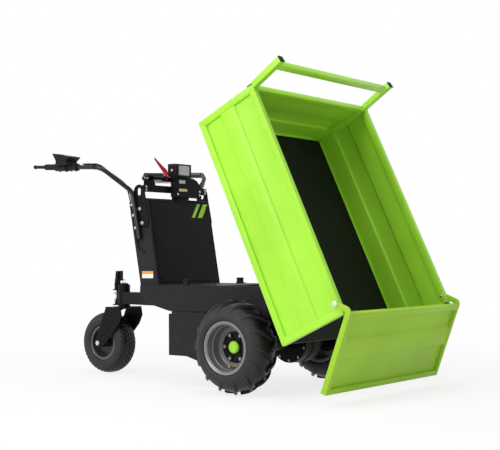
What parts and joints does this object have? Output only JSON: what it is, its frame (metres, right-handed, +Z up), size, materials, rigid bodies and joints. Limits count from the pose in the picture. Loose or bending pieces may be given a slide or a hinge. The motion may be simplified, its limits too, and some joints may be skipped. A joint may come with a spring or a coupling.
{
  "type": "three-wheeled battery site dumper",
  "caption": "Walk-behind tipping dumper with lugged drive wheels, a rear castor, a pressed-panel skip that tips forwards, a hooked tailgate and splayed handlebars.",
  "frame": {"origin": "on the floor, under the middle of the machine's bounding box, skip tipped", "axes": "+X forwards to the tailgate, +Y to the machine's left, +Z up"},
  "size_m": [1.9273, 0.918, 1.4035],
  "materials": {
    "lime_paint": "gloss",
    "black_paint": "satin",
    "charcoal_paint": "satin",
    "rim_paint": "satin",
    "zinc_steel": "satin",
    "rod_chrome": "polished",
    "lever_alloy": "satin",
    "tyre_rubber": "matte",
    "soft_rubber": "matte",
    "black_plastic": "matte",
    "lime_plastic": "gloss",
    "red_plastic": "gloss",
    "lamp_glass": "clear"
  },
  "bodies": {
    "frame": {"chassis_frame": "charcoal_paint", "rear_deck": "charcoal_paint", "castor_arm": "black_paint", "swivel_lock": "zinc_steel", "battery_box": "charcoal_paint", "axle_housing": "black_paint", "drive_motor": "black_paint", "tower_housing": "charcoal_paint", "tower_front_panel": "charcoal_paint", "handle_brackets": "black_paint", "tower_crossbar": "black_paint", "control_box": "black_paint", "work_lamp": "black_plastic", "lamp_lens": "lamp_glass", "tip_lever": "red_plastic", "handlebar_left": "black_paint", "handlebar_right": "black_paint", "hand_grips": "soft_rubber", "display_console": "black_plastic", "brake_lever": "lever_alloy", "skip_hinge_pin": "zinc_steel", "rest_buffers": "soft_rubber", "barrel_bracket": "black_paint"},
    "drive_wheel_left": {"drive_tyre_left": "tyre_rubber", "drive_rim_left": "rim_paint", "drive_hub_left": "black_paint", "hub_cap_left": "lime_plastic"},
    "drive_wheel_right": {"drive_tyre_right": "tyre_rubber", "drive_rim_right": "rim_paint", "drive_hub_right": "black_paint", "hub_cap_right": "lime_plastic"},
    "castor": {"castor_fork": "black_paint", "castor_axle": "zinc_steel"},
    "castor_wheel": {"castor_tyre": "tyre_rubber", "castor_rim": "rim_paint"},
    "skip": {"skip_side_left": "lime_paint", "skip_side_right": "lime_paint", "skip_headboard": "lime_paint", "skip_floor": "charcoal_paint", "skip_subframe": "black_paint", "skip_rack": "lime_paint", "skip_end_caps": "black_plastic", "headboard_strip": "soft_rubber", "tailgate_pins": "zinc_steel", "eye_pins": "zinc_steel"},
    "gate": {"tailgate": "lime_paint"},
    "barrel": {"cylinder_barrel": "black_paint"},
    "rod": {"cylinder_rod": "rod_chrome"}
  },
  "joints": [
    {"name": "drive_wheel_left_spin", "type": "hinge", "parent": "frame", "child": "drive_wheel_left", "pos_m": [0.3093, 0.348, 0.203], "axis": [0, 1, 0], "continuous": true},
    {"name": "drive_wheel_right_spin", "type": "hinge", "parent": "frame", "child": "drive_wheel_right", "pos_m": [0.3093, -0.348, 0.203], "axis": [0, 1, 0], "continuous": true},
    {"name": "castor_swivel", "type": "hinge", "parent": "frame", "child": "castor", "pos_m": [-0.6997, 0, 0.397], "axis": [0, 0, 1], "continuous": true},
    {"name": "castor_wheel_spin", "type": "hinge", "parent": "castor", "child": "castor_wheel", "pos_m": [-0.8077, 0, 0.156], "axis": [0, 1, 0], "continuous": true},
    {"name": "skip_tip", "type": "hinge", "parent": "frame", "child": "skip", "pos_m": [0.4973, 0, 0.503], "axis": [0, 1, 0], "range_deg": [-65, 0]},
    {"name": "gate_swing", "type": "hinge", "parent": "skip", "child": "gate", "pos_m": [0.88735, 0, 0.40242], "axis": [0, 1, 0], "range_deg": [-60, 44.5]},
    {"name": "barrel_pivot", "type": "hinge", "parent": "frame", "child": "barrel", "pos_m": [0.1513, 0, 0.141], "axis": [0, 1, 0], "range_deg": [-4.5, 0.6]},
    {"name": "rod_slide", "type": "slide", "parent": "barrel", "child": "rod", "axis": [0.3667, 0, 0.9303], "range_m": [-0.25, 0]}
  ],
  "couplings": [
    {"joint": "barrel_pivot", "follows": "skip_tip", "ratio": -0.00729},
    {"joint": "rod_slide", "follows": "skip_tip", "m_per_rad": 0.21082}
  ]
}
